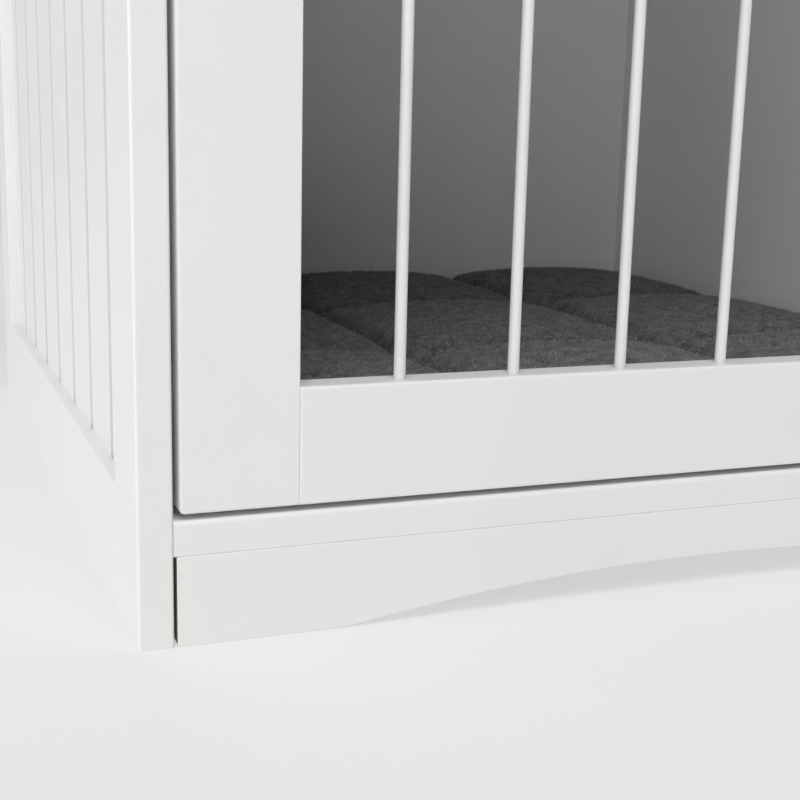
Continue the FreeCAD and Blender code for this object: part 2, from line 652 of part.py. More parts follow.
def hinge(level, low):
    """Butt hinge in the gap on the right: two leaves with knuckles, and the pin between them."""
    third = "(Dims.hinge_height / 3)"
    knuckle = "Dims.knuckle_radius"
    neck = f"{knuckle} + Dims.leaf_clear"
    bore = rod(f"{level}_pin_way", "Dims.pin_radius + Dims.pin_fit", "Dims.hinge_height",
               (HINGE_X, HINGE_Y, low))
    leaves = (
        ("frame", f"{INNER} - {LEAF}", ((0, third), (f"2 * {third}", third))),
        ("door", DOOR_HALF, ((f"{third} + Dims.leaf_clear", f"{third} - 2 * Dims.leaf_clear"),)),
    )
    for owner, x, knuckles in leaves:
        name = f"{level}_hinge_{owner}"
        pieces = [block(f"{name}_plate", (LEAF, "Dims.leaf_width", "Dims.hinge_height"), (x, FRONT, low))]
        for index, (start, length) in enumerate(knuckles):
            z = f"{low} + {start}"
            pieces.append(block(f"{name}_neck_{index}", (LEAF, neck, length), (x, HINGE_Y, z)))
            pieces.append(rod(f"{name}_knuckle_{index}", knuckle, length, (HINGE_X, HINGE_Y, z)))
        tools = [bore]
        for end, way in (("low", 0), ("high", 1)):
            z = f"{low} + Dims.hinge_screw_inset + {way} * (Dims.hinge_height - 2 * Dims.hinge_screw_inset)"
            face = f"{INNER} - {LEAF}" if owner == "frame" else f"{DOOR_HALF} + {LEAF}"
            into = X if owner == "frame" else -X
            place = (face, f"{FRONT} + Dims.leaf_width / 2", z)
            body, way_in = screw(f"{name}_screw_{end}", place, into)
            hinge_screws[owner].append(body)
            tools.append(way_in)
            drill(way_in, "right_front_stile" if owner == "frame" else "door_right_stile")
        node(f"{name}_leaf", carved(f"{name}_cut", fused(f"{name}_blank", pieces), tools))
    pin = rod(f"{level}_pin", "Dims.pin_radius", "Dims.hinge_height + 2 * Dims.pin_proud",
              (HINGE_X, HINGE_Y, f"{low} - Dims.pin_proud"))
    node(f"{level}_hinge_pin", pin)


def screwed_plate(name, width, height, corner, screw_places):
    """Plate with bevelled corners, its screws and their bores."""
    body = doc.addObject("PartDesign::Body", f"{name}_blank")
    plate = new_sketch(body, "XZ_Plane", f"{name}_plate")
    rectangle(plate, width, height)
    feature = pad(body, plate, "Dims.plate")
    doc.recompute()
    corners = edges_at(feature.Shape, ["-0-", "-0+", "+0-", "+0+"])
    bevelled(body, feature, corners, "Dims.plate_corner")
    put(body, corner)
    screws = []
    ways = []
    for index, (x, z) in enumerate(screw_places):
        place = plus(corner, x, "-Dims.plate", z)
        fastener, way_in = screw(f"{name}_screw_{index}", place, Y)
        screws.append(fastener)
        ways.append(way_in)
    return body, screws, ways


def guide_loop(body, name, start):
    """Loop around the bolt: straight legs on the plate and a half round over a bored eye."""
    lift = size("bolt_radius") + size("slide_clear") + size("plate")
    hole = size("bolt_radius") + size("slide_clear")
    outer = hole + size("guide_wall")
    middle = size("plate_height") / 2
    sketch = new_sketch(body, "YZ_Plane", name)
    sketch.setExpression("AttachmentOffset.Base.z", start)
    points = [(-lift, middle - outer), (0, middle - outer), (0, middle + outer), (-lift, middle + outer)]
    legs = []
    for first, second in zip(points, points[1:]):
        legs.append(sketch.addGeometry(Part.LineSegment(V(*first, 0), V(*second, 0)), False))
    low, base, high = legs
    circle = Part.Circle(V(-lift, middle, 0), V(0, 0, 1), outer)
    bow = sketch.addGeometry(Part.ArcOfCircle(circle, math.pi / 2, 3 * math.pi / 2), False)
    eye = sketch.addGeometry(Part.Circle(V(-lift, middle, 0), V(0, 0, 1), hole), False)
    constrain(sketch, "Coincident", low, 2, base, 1)
    constrain(sketch, "Coincident", base, 2, high, 1)
    constrain(sketch, "Coincident", high, 2, bow, 1)
    constrain(sketch, "Coincident", bow, 2, low, 1)
    constrain(sketch, "Coincident", eye, 3, bow, 3)
    for line in (low, high):
        constrain(sketch, "Horizontal", line)
    constrain(sketch, "Vertical", bow, 1, bow, 3)
    constrain(sketch, "Vertical", bow, 2, bow, 3)
    constrain(sketch, "PointOnObject", base, 1, -2)
    constrain(sketch, "PointOnObject", base, 2, -2)
    constrain(sketch, "DistanceX", bow, 3, -1, 1, lift, name="lift", bound=BOLT_LIFT)
    constrain(sketch, "DistanceY", -1, 1, bow, 3, middle, name="middle", bound="Dims.plate_height / 2")
    constrain(sketch, "Radius", bow, outer, name="outer", bound=f"{BOLT_HOLE} + Dims.guide_wall")
    constrain(sketch, "Radius", eye, hole, name="eye", bound=BOLT_HOLE)
    pad(body, sketch, "Dims.guide_width")


def keeper():
    """Plate on the side's front edge with a square staple that takes the bolt's tip."""
    inset = "Dims.plate_screw_inset"
    middle_x = "Dims.keeper_width / 2"
    corner = (f"-{OUTER} + (Dims.board - Dims.keeper_width) / 2", FRONT,
              f"{DOOR_MIDDLE} - Dims.keeper_height / 2")
    places = [(middle_x, inset), (middle_x, f"Dims.keeper_height - {inset}")]
    plate, screws, ways = screwed_plate("keeper", "Dims.keeper_width", "Dims.keeper_height", corner, places)
    half = "(Dims.bolt_radius + Dims.keeper_clear)"
    wall = "Dims.guide_wall"
    x = f"{corner[0]} + (Dims.keeper_width - Dims.guide_width) / 2"
    bridge_y = f"{BOLT_Y} - {half}"
    rise = f"{BOLT_LIFT} - Dims.plate + {half}"
    pieces = [carved("keeper_plate_cut", plate, ways)]
    for name, z in (("lower", f"{DOOR_MIDDLE} - {half} - {wall}"), ("upper", f"{DOOR_MIDDLE} + {half}")):
        pieces.append(block(f"keeper_{name}_leg", ("Dims.guide_width", rise, wall), (x, bridge_y, z)))
    pieces.append(board("keeper_bridge", ("Dims.guide_width", wall, f"2 * ({half} + {wall})"),
                        (x, f"{bridge_y} - {wall}", f"{DOOR_MIDDLE} - {half} - {wall}"),
                        [("Dims.keeper_round", ["0--", "0-+"])]))
    node("bolt_keeper", group("keeper_set", pieces))
    node("keeper_screws", group("keeper_screw_set", screws))
    for way in ways:
        drill(way, "left_front_stile")


def slide_bolt():
    """Bolt on the door's left stile, withdrawn from the keeper."""
    inset = "Dims.plate_screw_inset"
    plate_corner = (f"-{DOOR_HALF} + Dims.bolt_inset", FRONT, f"{DOOR_MIDDLE} - Dims.plate_height / 2")
    middle_x = f"Dims.guide_width + {GUIDE_GAP} / 2"
    places = [(middle_x, inset), (middle_x, f"Dims.plate_height - {inset}")]
    plate, screws, ways = screwed_plate("bolt", PLATE_WIDTH, "Dims.plate_height", plate_corner, places)
    for index, start in enumerate(("0", f"Dims.guide_width + {GUIDE_GAP}")):
        guide_loop(plate, f"guide_loop_{index}", start)
    node("bolt_plate", carved("bolt_plate_cut", plate, ways))
    node("bolt_plate_screws", group("bolt_plate_screw_set", screws))
    for way in ways:
        drill(way, "door_left_stile")
    length = f"2 * Dims.guide_width + {GUIDE_GAP} + Dims.bolt_travel"
    tip = (plate_corner[0], BOLT_Y, DOOR_MIDDLE)
    shaft = rod("bolt_shaft", "Dims.bolt_radius", length, tip, X)
    stem_x = f"{plate_corner[0]} + Dims.guide_width + {GUIDE_GAP} - Dims.knob_clear - Dims.knob_stem"
    stud = rod("knob_way", "Dims.knob_stem / 2 + Dims.fit_clear", "Dims.bolt_radius",
               (stem_x, BOLT_Y, DOOR_MIDDLE), -Y)
    node("bolt_rod", carved("bolt_rod_cut", shaft, [stud]))
    knob((stem_x, BOLT_Y, DOOR_MIDDLE))


def knob(place):
    """Turned knob: a stud in the bolt, a stem between the guides and a rounded head before them."""
    stud = "Dims.knob_stem / 2"
    seat = "Dims.bolt_radius + Dims.slide_clear + Dims.guide_wall + Dims.knob_clear"
    steps = [
        (stud, "Dims.bolt_radius"),
        ("Dims.knob_stem", seat),
        ("Dims.knob_radius", f"{seat} + Dims.knob_head"),
    ]
    body = doc.addObject("PartDesign::Body", "knob_body")
    sketch = new_sketch(body, "XZ_Plane", "knob_profile")
    lines = outline(sketch, [(0, 0), (1, 0), (1, 3), (2, 3), (2, 5), (5, 5), (5, 9), (0, 9)])
    constrain(sketch, "Coincident", lines[0], 1, -1, 1)
    for index, line in enumerate(lines):
        constrain(sketch, "Vertical" if index % 2 else "Horizontal", line)
    for index, (radius, height) in enumerate(steps):
        riser = lines[2 * index + 1]
        constrain(sketch, "DistanceX", -1, 1, riser, 2, index + 1, name=f"radius_{index}", bound=radius)
        constrain(sketch, "DistanceY", -1, 1, riser, 2, index + 3, name=f"height_{index}", bound=height)
    turned = body.newObject("PartDesign::Revolution", "knob_turned")
    turned.Profile = sketch
    turned.ReferenceAxis = (sketch, ["V_Axis"])
    turned.Angle = 360
    doc.recompute()
    crown = turned.Shape.BoundBox.ZMax
    rim = [f"Edge{number}" for number, edge in enumerate(turned.Shape.Edges, start=1)
           if edge.BoundBox.ZMin > crown - NEAR]
    bevelled(body, turned, rim, "Dims.knob_bevel")
    node("bolt_knob", put(body, place, facing(-Y)))


def cushion_section(y, half, level, squeeze):
    """Outline across the cushion at depth y.

    Level runs from 0 at a sewn seam to 1 in the middle of a row, and squeeze lowers the rim.
    """
    seam = size("cushion_seam") * squeeze
    crest = seam + (size("cushion_crown") - size("cushion_seam")) * max(level, LEAST_CROWN) * squeeze
    widest = half - size("cushion_draw") * (1 - level)
    tuck = size("cushion_tuck")
    columns = int(size("quilt_columns"))
    edge = widest - tuck
    seams = [edge - 2 * edge * column / columns for column in range(columns + 1)]
    edges = [
        Part.LineSegment(V(-edge, y, 0), V(edge, y, 0)),
        Part.Arc(V(edge, y, 0), V(widest, y, seam / 2), V(edge, y, seam)),
    ]
    for right, left in zip(seams, seams[1:]):
        edges.append(Part.Arc(V(right, y, seam), V((right + left) / 2, y, crest), V(left, y, seam)))
    edges.append(Part.Arc(V(-edge, y, seam), V(-widest, y, seam / 2), V(-edge, y, 0)))
    return Part.Wire([edge.toShape() for edge in edges])


def quilted_cushion():
    """Pad of sewn squares: each row of squares swells from seam to seam, and its sides draw in."""
    gap = size("cushion_gap")
    half = size("body_width") / 2 - size("board") - gap
    depth = size("body_depth") - 2 * size("board") - 2 * gap
    rows = int(size("quilt_rows"))
    row_depth = depth / rows
    rim = size("cushion_edge") / size("cushion_seam")
    pads = []
    for row in range(rows):
        sections = []
        for share in ROW_SHARES:
            rise = min(share, 1 - share) / CROWN_START
            level = math.sin(math.pi / 2 * rise) ** CROWN_FULLNESS
            at_rim = (row == 0 and share == 0) or (row == rows - 1 and share == 1)
            squeeze = rim if at_rim else 1
            sections.append(cushion_section((row + share) * row_depth, half, level, squeeze))
        pads.append(Part.makeLoft(sections, True, True))
    shape = pads[0].fuse(pads[1:])
    feature = doc.addObject("Part::Feature", "cushion")
    feature.Shape = shape
    front = f"{FRONT} + Dims.board + Dims.cushion_gap"
    node("cushion", put(feature, (0, front, FLOOR_TOP)))


def check_and_write():
    """Stop on any failed object or shape, then write one file for each node."""
    doc.recompute()
    faults = [thing.Name for thing in doc.Objects if {"Invalid", "Error"} & set(thing.State)]
    for name, thing in nodes.items():
        shape = thing.Shape
        if shape.isNull() or not shape.isValid() or not shape.Solids:
            faults.append(name)
    if faults:
        raise RuntimeError("failed: " + ", ".join(sorted(set(faults))))
    os.makedirs("parts", exist_ok=True)
    for name, thing in nodes.items():
        thing.Shape.exportStep(f"parts/{name}.step")
    print(f"{len(nodes)} nodes written")


plan_fittings()
hinge("lower", f"{DOOR_BOTTOM} + Dims.hinge_inset")
hinge("upper", f"{DOOR_TOP} - Dims.hinge_inset - Dims.hinge_height")
for owner, screws in hinge_screws.items():
    node(f"hinge_{owner}_screws", group(f"hinge_{owner}_screw_set", screws))
slide_bolt()
keeper()
carcass_boards()
front_apron()
side_frame("left", -1)
side_frame("right", 1)
door_frame()
for frame, keys in tongues.items():
    node(f"{frame}_tongues", group(f"{frame}_tongue_set", keys))
node("carcass_dowels", group("carcass_dowel_set", dowels))
node("cam_locks", group("cam_lock_set", cam_locks))
node("cam_bolts", group("cam_bolt_set", cam_bolts))
quilted_cushion()
check_and_write()
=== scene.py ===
import json
import math

import bmesh
import bpy
import numpy as np
from mathutils import Matrix, Vector
from mathutils import noise as field


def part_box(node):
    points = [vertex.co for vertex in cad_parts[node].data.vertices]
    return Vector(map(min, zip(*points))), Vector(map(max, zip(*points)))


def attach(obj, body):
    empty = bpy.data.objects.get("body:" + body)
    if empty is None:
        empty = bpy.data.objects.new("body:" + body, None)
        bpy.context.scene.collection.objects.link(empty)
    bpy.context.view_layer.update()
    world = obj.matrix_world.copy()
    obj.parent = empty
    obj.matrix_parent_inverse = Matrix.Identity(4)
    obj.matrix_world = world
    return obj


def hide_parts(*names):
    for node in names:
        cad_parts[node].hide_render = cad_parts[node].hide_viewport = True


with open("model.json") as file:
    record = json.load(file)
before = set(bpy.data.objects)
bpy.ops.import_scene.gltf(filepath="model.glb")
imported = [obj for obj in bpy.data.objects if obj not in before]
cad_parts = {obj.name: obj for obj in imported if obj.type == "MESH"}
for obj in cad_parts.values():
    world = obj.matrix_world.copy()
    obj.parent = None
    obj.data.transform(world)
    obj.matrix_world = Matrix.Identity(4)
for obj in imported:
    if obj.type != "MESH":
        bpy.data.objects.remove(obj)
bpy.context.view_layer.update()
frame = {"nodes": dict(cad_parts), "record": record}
nodes = frame["nodes"]
scene = bpy.context.scene

# The photograph's camera, fitted to the crate's edges: place in metres, angles in degrees
CAMERA_PLACE = Vector((-0.3192, -0.6969, 0.1894))
CAMERA_TURN = 21.27
CAMERA_DIP = 11.92
CAMERA_ROLL = 1.378
CAMERA_LENS = 60.8
SENSOR_WIDTH = 36.0

# Quilted cushion: lengths in metres, and shares of the pad's height
VOXEL = 0.005
QUILT_SQUARES = 3
CROWN_BEFORE = 0.9
MOST_SWELL = 0.008
SEAM_SHARE = 0.55
FULLNESS = 0.45
PRESSURE = 4.0
LAST_FRAME = 20
PINNED_SEAM = 0.003
SEAM_WIDTH = 0.0055
SEAM_DEPTH = 0.011
CLUMP_HEIGHT = 0.0006
PILE_ROOM = 0.0015

# Pile: lengths in metres, how far the tufts are combed over and stray, and how their tone varies from 0 to 1
PILE_SEED = 7
PATCHES_PER_METRE = 25
SWIRLS_PER_METRE = 80
CLUMPS_PER_METRE = 170
SPECKS_PER_METRE = 330
COMBED = 0.5
STRAY = 0.35
SOFT_NORMAL = 0.5
MIDDLE_TONE = 0.55
MOTTLED_TONE = 0.75
SPECKLED_SHARE = 0.6
STRAY_TONE = 0.05
ROOT_TONE = 0.6
TUFT_COUNT = 49000
TUFT_LENGTH = (0.0009, 0.0018)
TUFT_RADIUS = (0.0008, 0.0014)
TUFT_ROOT = 0.0004
TUFT_CORNERS = 3

# Screws: rings and spokes of the head's face, the head and its cross recess as shares of the head's radius,
# the tip as a share of the shank's, and tolerances in metres
HEAD_RINGS = 14
HEAD_SPOKES = 48
HEAD_DEPTH = 0.25
TIP_SHARE = 0.1
RECESS_HALF_WIDTH = 0.13
RECESS_REACH = 0.6
RECESS_DEPTH = 0.32
RECESS_WALL = 0.06
FLUSH = 0.00001
SCREW_APART = 0.005

# Boards, in metres: rounding of the corners seen from the front, and of the front edges where boards meet
DOOR_CORNER = 0.002
APRON_CORNER = 0.0014
CORNER_STEPS = 6
RAIL_EASE = 0.001
STILE_EASE = 0.0006
EASE_STEPS = 4
WELD = 0.000001

# Stage, in metres; its papers have a shade, and a glow that keeps shadows faint
STAGE_REACH = 8.0
STAGE_SIDES = 64
FLOOR_SHADE, FLOOR_GLOW = 0.4, 0.43
BACKDROP_SHADE, BACKDROP_GLOW = 0.1, 0.48
GLOW_COLOUR = (0.97, 1.0, 0.975, 1)
PAPER_CLOUDS = 1.04
SURROUND_STRENGTH = 0.07

# Softboxes: name, place, target, width and height in metres, power in watts
SOFTBOXES = [
    ("key_softbox", (-0.3, -1.5, 2.6), (0, -0.2, 0.2), 1.6, 1.4, 40),
    ("high_softbox", (-1.5, -1.7, 2.0), (0, -0.1, 0.2), 1.8, 1.6, 11),
    ("low_softbox", (-1.7, -2.3, 0.7), (0, -0.2, 0.2), 1.8, 1.2, 17),
    ("left_softbox", (-4.6, 0.9, 1.6), (-0.24, 0, 0.2), 3.0, 2.6, 84),
    ("top_softbox", (0.2, 0.4, 2.7), (0, 0, 0), 2.0, 2.0, 5),
    ("rear_softbox", (2.2, 1.6, 1.6), (0, 0, 0.2), 1.8, 1.6, 20),
]


def new_material(name, **sockets):
    """Principled material; a socket's name is written with underscores."""
    made = bpy.data.materials.new(name)
    made.use_nodes = True
    shader = made.node_tree.nodes["Principled BSDF"]
    titles = {title.lower().replace(" ", "_"): title for title in shader.inputs.keys()}
    for socket, value in sockets.items():
        shader.inputs[titles[socket]].default_value = value
    return made


def add_node(material, kind, links=None, **values):
    """Shader node with the given links and socket values; returns its first output."""
    node = material.node_tree.nodes.new(kind)
    for socket, value in values.items():
        node.inputs[socket.replace("_", " ").title()].default_value = value
    for socket, source in (links or {}).items():
        material.node_tree.links.new(source, node.inputs[socket])
    return node.outputs[0]


def noise(material, scale, detail=2.0, stretch=(1, 1, 1)):
    """Noise in the part's own coordinates; scale counts features to the metre."""
    coordinates = material.node_tree.nodes.new("ShaderNodeTexCoord").outputs["Object"]
    mapped = add_node(material, "ShaderNodeMapping", {"Vector": coordinates}, Scale=stretch)
    return add_node(material, "ShaderNodeTexNoise", {"Vector": mapped}, Scale=scale, Detail=detail)


def spread(material, value, low, high):
    """The middle of a noise value's range, spread from low to high."""
    return add_node(material, "ShaderNodeMapRange", {"Value": value},
                    From_Min=0.3, From_Max=0.7, To_Min=low, To_Max=high)


def ramp(material, value, *stops):
    """Colour ramp through (position, colour) stops."""
    node = material.node_tree.nodes.new("ShaderNodeValToRGB")
    elements = node.color_ramp.elements
    while len(elements) < len(stops):
        elements.new(0.5)
    for element, (position, colour) in zip(elements, stops):
        element.position = position
        element.color = (*colour, 1)
    material.node_tree.links.new(value, node.inputs["Fac"])
    return node.outputs["Color"]


def feed(material, socket, source):
    """Link a node's output to a socket of the material's shader."""
    material.node_tree.links.new(source, material.node_tree.nodes["Principled BSDF"].inputs[socket])


def relief(material, *layers):
    """Bump from (height, distance in metres, strength) layers."""
    normal = None
    for height, distance, strength in layers:
        links = {"Height": height}
        if normal:
            links["Normal"] = normal
        normal = add_node(material, "ShaderNodeBump", links, Distance=distance, Strength=strength)
    feed(material, "Normal", normal)


def white_lacquer():
    """Sprayed satin lacquer on fibreboard: faint clouds in the white and a fine orange peel."""
    made = new_material("white_lacquer", coat_weight=0.12, coat_roughness=0.3, specular_ior_level=0.45)
    clouds = noise(made, 9, 3)
    feed(made, "Base Color", ramp(made, clouds, (0.3, (0.845, 0.842, 0.832)), (0.7, (0.872, 0.87, 0.862))))
    feed(made, "Roughness", spread(made, noise(made, 55, 4), 0.36, 0.47))
    relief(made, (noise(made, 45, 2), 0.0004, 0.12), (noise(made, 620, 2), 0.00012, 0.18))
    return made


def groove_painted_shade():
    """The same lacquer where a cutter opened the board: rougher, and painted greyer for the shade that falls in the
    routed grooves.
    """
    made = new_material("groove_painted_shade", specular_ior_level=0.35)
    streaks = noise(made, 120, 3, (1, 1, 0.08))
    # Painted shade: the groove faces' lacquer is greyer than the white
    feed(made, "Base Color", ramp(made, streaks, (0.3, (0.57, 0.565, 0.55)), (0.7, (0.63, 0.625, 0.61))))
    feed(made, "Roughness", spread(made, streaks, 0.5, 0.65))
    relief(made, (noise(made, 700, 3), 0.0002, 0.3))
    return made


def raw_board():
    """Sawn fibreboard: brown, with short pressed fibres."""
    made = new_material("raw_board", specular_ior_level=0.2)
    fibres = noise(made, 900, 4, (0.35, 1, 1))
    feed(made, "Base Color", ramp(made, fibres, (0.3, (0.2, 0.14, 0.095)), (0.7, (0.38, 0.285, 0.2))))
    feed(made, "Roughness", spread(made, fibres, 0.75, 0.95))
    relief(made, (fibres, 0.0003, 0.5))
    return made


def powder_coat():
    """Baked white powder on steel wire, with its pebbled skin."""
    made = new_material("powder_coat", specular_ior_level=0.5)
    feed(made, "Base Color", ramp(made, noise(made, 30, 3), (0.3, (0.79, 0.79, 0.78)), (0.7, (0.84, 0.84, 0.83))))
    feed(made, "Roughness", spread(made, noise(made, 220, 3), 0.3, 0.42))
    relief(made, (noise(made, 1400, 2), 0.0001, 0.25))
    return made


def satin_nickel():
    """Nickel plate with the fine scratches of brushing along its length."""
    made = new_material("satin_nickel", metallic=1.0, anisotropic=0.25)
    brushed = noise(made, 420, 5, (0.12, 1, 1))
    feed(made, "Base Color", ramp(made, noise(made, 70, 3), (0.3, (0.57, 0.55, 0.51)), (0.7, (0.67, 0.65, 0.61))))
    feed(made, "Roughness", spread(made, brushed, 0.2, 0.38))
    relief(made, (brushed, 0.00006, 0.3))
    return made


def cast_zinc():
    """Tumbled die-cast zinc."""
    made = new_material("cast_zinc", metallic=0.9)
    grain = noise(made, 380, 4)
    feed(made, "Base Color", ramp(made, grain, (0.3, (0.36, 0.36, 0.37)), (0.7, (0.52, 0.52, 0.53))))
    feed(made, "Roughness", spread(made, grain, 0.42, 0.62))
    relief(made, (grain, 0.00015, 0.4))
    return made


def raw_beech():
    """Straight-grained beech with its short dark flecks."""
    made = new_material("raw_beech", specular_ior_level=0.3)
    grain = noise(made, 160, 4, (0.15, 0.15, 1))
    feed(made, "Base Color", ramp(made, grain, (0.3, (0.47, 0.31, 0.18)), (0.6, (0.6, 0.43, 0.27)),
                                  (0.8, (0.66, 0.49, 0.32))))
    feed(made, "Roughness", spread(made, grain, 0.55, 0.72))
    relief(made, (grain, 0.0002, 0.3))
    return made


def plush():
    """Short dark grey pile: clumps of fibres painted lighter and darker as they would look lying to and from the
    light.
    """
    made = new_material("plush", sheen_weight=0.25, sheen_roughness=0.5, sheen_tint=(0.5, 0.5, 0.52, 1),
                        specular_ior_level=0.15)
    clumps = noise(made, 150, 4)
    # Painted light and shade: the clumps' colour runs lighter and darker as if their fibres lay to or from the
    # light
    feed(made, "Base Color", ramp(made, clumps, (0.28, (0.06, 0.06, 0.063)), (0.5, (0.12, 0.12, 0.125)),
                                  (0.72, (0.18, 0.18, 0.187))))
    feed(made, "Roughness", spread(made, clumps, 0.86, 0.98))
    relief(made, (clumps, 0.002, 0.5), (noise(made, 900, 3), 0.0006, 0.6))
    return made


def fibre_tips():
    """The pile's single fibres, paler at their tips."""
    made = new_material("fibre_tips", roughness=0.9, sheen_weight=0.2, sheen_roughness=0.5,
                        specular_ior_level=0.1)
    attribute = made.node_tree.nodes.new("ShaderNodeAttribute")
    attribute.attribute_name = "tip"
    feed(made, "Base Color", ramp(made, attribute.outputs["Fac"], (0.0, (0.055, 0.055, 0.058)),
                                  (0.3, (0.135, 0.135, 0.141)), (1.0, (0.25, 0.25, 0.261))))
    return made


finish = {
    "white_lacquer": white_lacquer(),
    "bar_metal": powder_coat(),
    "nickel": satin_nickel(),
    "zinc": cast_zinc(),
    "beech": raw_beech(),
    "plush": plush(),
}
slots = {entry["node"]: entry["material_slot"] for entry in frame["record"]["subparts"]}
for name, cad in nodes.items():
    cad.data.materials.clear()
    cad.data.materials.append(finish[slots[name]])


def new_piece(name, mesh, body, slot, *replaced):
    """Piece that rides on a body and stands for the replaced nodes."""
    piece = bpy.data.objects.new(name, mesh)
    scene.collection.objects.link(piece)
    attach(piece, body)
    if replaced:
        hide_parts(*replaced)
    return piece


def read_points(mesh):
    points = np.empty(len(mesh.vertices) * 3)
    mesh.vertices.foreach_get("co", points)
    return points.reshape(-1, 3)


def write_points(mesh, points):
    mesh.vertices.foreach_set("co", points.ravel())
    mesh.update()


def cut_copy(name, cuts):
    """A node's mesh, welded and cut along (axis, place) planes so that it can be bent there."""
    shape = bmesh.new()
    shape.from_mesh(nodes[name].data)
    bmesh.ops.remove_doubles(shape, verts=shape.verts, dist=WELD)
    for axis, place in cuts:
        across = Vector([float(other == axis) for other in range(3)])
        bmesh.ops.bisect_plane(shape, geom=shape.verts[:] + shape.edges[:] + shape.faces[:], dist=WELD,
                               plane_co=place * across, plane_no=across)
    mesh = bpy.data.meshes.new(name)
    shape.to_mesh(mesh)
    shape.free()
    mesh.materials.append(finish[slots[name]])
    return mesh


def steps(edge, inward, width, count):
    """Places from an edge inwards, evenly over a width."""
    return [edge + inward * width * step / count for step in range(1, count + 1)]


def round_corners(points, low, high, sides, radius):
    """Round a board's upper and lower corners in the plane of its face; side -1 is its left end, 1 its right."""
    for side in sides:
        for end in (-1, 1):
            corner = np.array((high.x if side > 0 else low.x, high.z if end > 0 else low.z))
            ways = np.array((side, end))
            reach = (points[:, (0, 2)] - corner) * ways + radius
            near = np.flatnonzero((reach > 0).all(axis=1))
            reach = reach[near]
            reach *= (reach.max(axis=1) / np.linalg.norm(reach, axis=1))[:, None]
            points[np.ix_(near, (0, 2))] = corner + (reach - radius) * ways


def ease_ends(points, low, high, sides, width):
    """Round a board's front edge over at its ends, half as deep as it is wide."""
    for side in sides:
        inwards = (high.x - points[:, 0]) if side > 0 else (points[:, 0] - low.x)
        share = np.clip(1 - inwards / width, 0, 1)
        sink = width / 2 * (1 - np.sqrt(1 - share ** 2))
        points[:, 1] += sink * (high.y - points[:, 1]) / (high.y - low.y)


def eased_board(name, outer, inner, ease):
    """Board of the door with its outer corners rounded and its inner ends eased."""
    low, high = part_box(name)
    edge = {-1: low.x, 1: high.x}
    cuts = [(0, place) for side in outer for place in steps(edge[side], -side, DOOR_CORNER, CORNER_STEPS)]
    cuts += [(0, place) for side in inner for place in steps(edge[side], -side, ease, EASE_STEPS)]
    if outer:
        cuts += [(2, place) for place in steps(low.z, 1, DOOR_CORNER, CORNER_STEPS)
                 + steps(high.z, -1, DOOR_CORNER, CORNER_STEPS)]
    mesh = cut_copy(name, cuts)
    points = read_points(mesh)
    round_corners(points, low, high, outer, DOOR_CORNER)
    ease_ends(points, low, high, inner, ease)
    write_points(mesh, points)
    new_piece(f"{name}_eased", mesh, "door", slots[name], name)


def sawn_apron():
    """The plinth's apron, whose two ends were cut after lacquering and show the bare board."""
    low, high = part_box("front_apron")
    cuts = [(axis, place) for axis in (0, 2) for edge, inward in ((low[axis], 1), (high[axis], -1))
            for place in steps(edge, inward, APRON_CORNER, CORNER_STEPS)]
    mesh = cut_copy("front_apron", cuts)
    points = read_points(mesh)
    round_corners(points, low, high, (-1, 1), APRON_CORNER)
    write_points(mesh, points)
    mesh.materials.append(raw_board())
    for polygon in mesh.polygons:
        polygon.material_index = int(abs(polygon.normal.x) > 0.95)
    new_piece("front_apron_sawn", mesh, "crate", "white_lacquer", "front_apron")


def cut_grooves():
    """Side panels whose routed grooves' faces carry painted shade, a greyer lacquer of their own."""
    inside = groove_painted_shade()
    for side in ("left", "right"):
        name = f"{side}_grooved_panel"
        mesh = nodes[name].data.copy()
        mesh.materials.append(inside)
        for polygon in mesh.polygons:
            # Faces that slope into the grooves take the lacquer with painted shade
            polygon.material_index = int(0.2 < abs(polygon.normal.x) < 0.95)
        new_piece(f"{name}_groove_shaded", mesh, "crate", "white_lacquer", name)


def face_groups(points, gap):
    """Points sorted into groups that lie further than the gap from each other."""
    groups = []
    for point in points:
        home = next((group for group in groups if np.linalg.norm(group[0] - point) < gap), None)
        if home is None:
            groups.append([point])
        else:
            home.append(point)
    return [np.array(group) for group in groups]


def within(limit, place):
    """1 inside the limit and 0 outside, with the recess's sloping wall between."""
    return min(max((limit - abs(place)) / RECESS_WALL + 0.5, 0), 1)


def recess(across, along):
    """Share of the recess's depth at a place on the head, one arm of the cross lying along."""
    return within(RECESS_HALF_WIDTH, across) * within(RECESS_REACH, along)


def screw_rings(radius, sink, shank, length):
    """(ring radius, depth of each spoke) from the middle of the head round to the tip."""
    rings = []
    for ring in range(1, HEAD_RINGS + 1):
        share = ring / HEAD_RINGS
        depths = []
        for spoke in range(HEAD_SPOKES):
            turn = 2 * math.pi * spoke / HEAD_SPOKES
            u, v = share * math.cos(turn), share * math.sin(turn)
            depths.append(RECESS_DEPTH * radius * max(recess(u, v), recess(v, u)))
        rings.append((share * radius, depths))
    for ring_radius, depth in ((radius, sink), (shank, sink), (shank, length - shank), (TIP_SHARE * shank, length)):
        rings.append((ring_radius, [depth] * HEAD_SPOKES))
    return rings


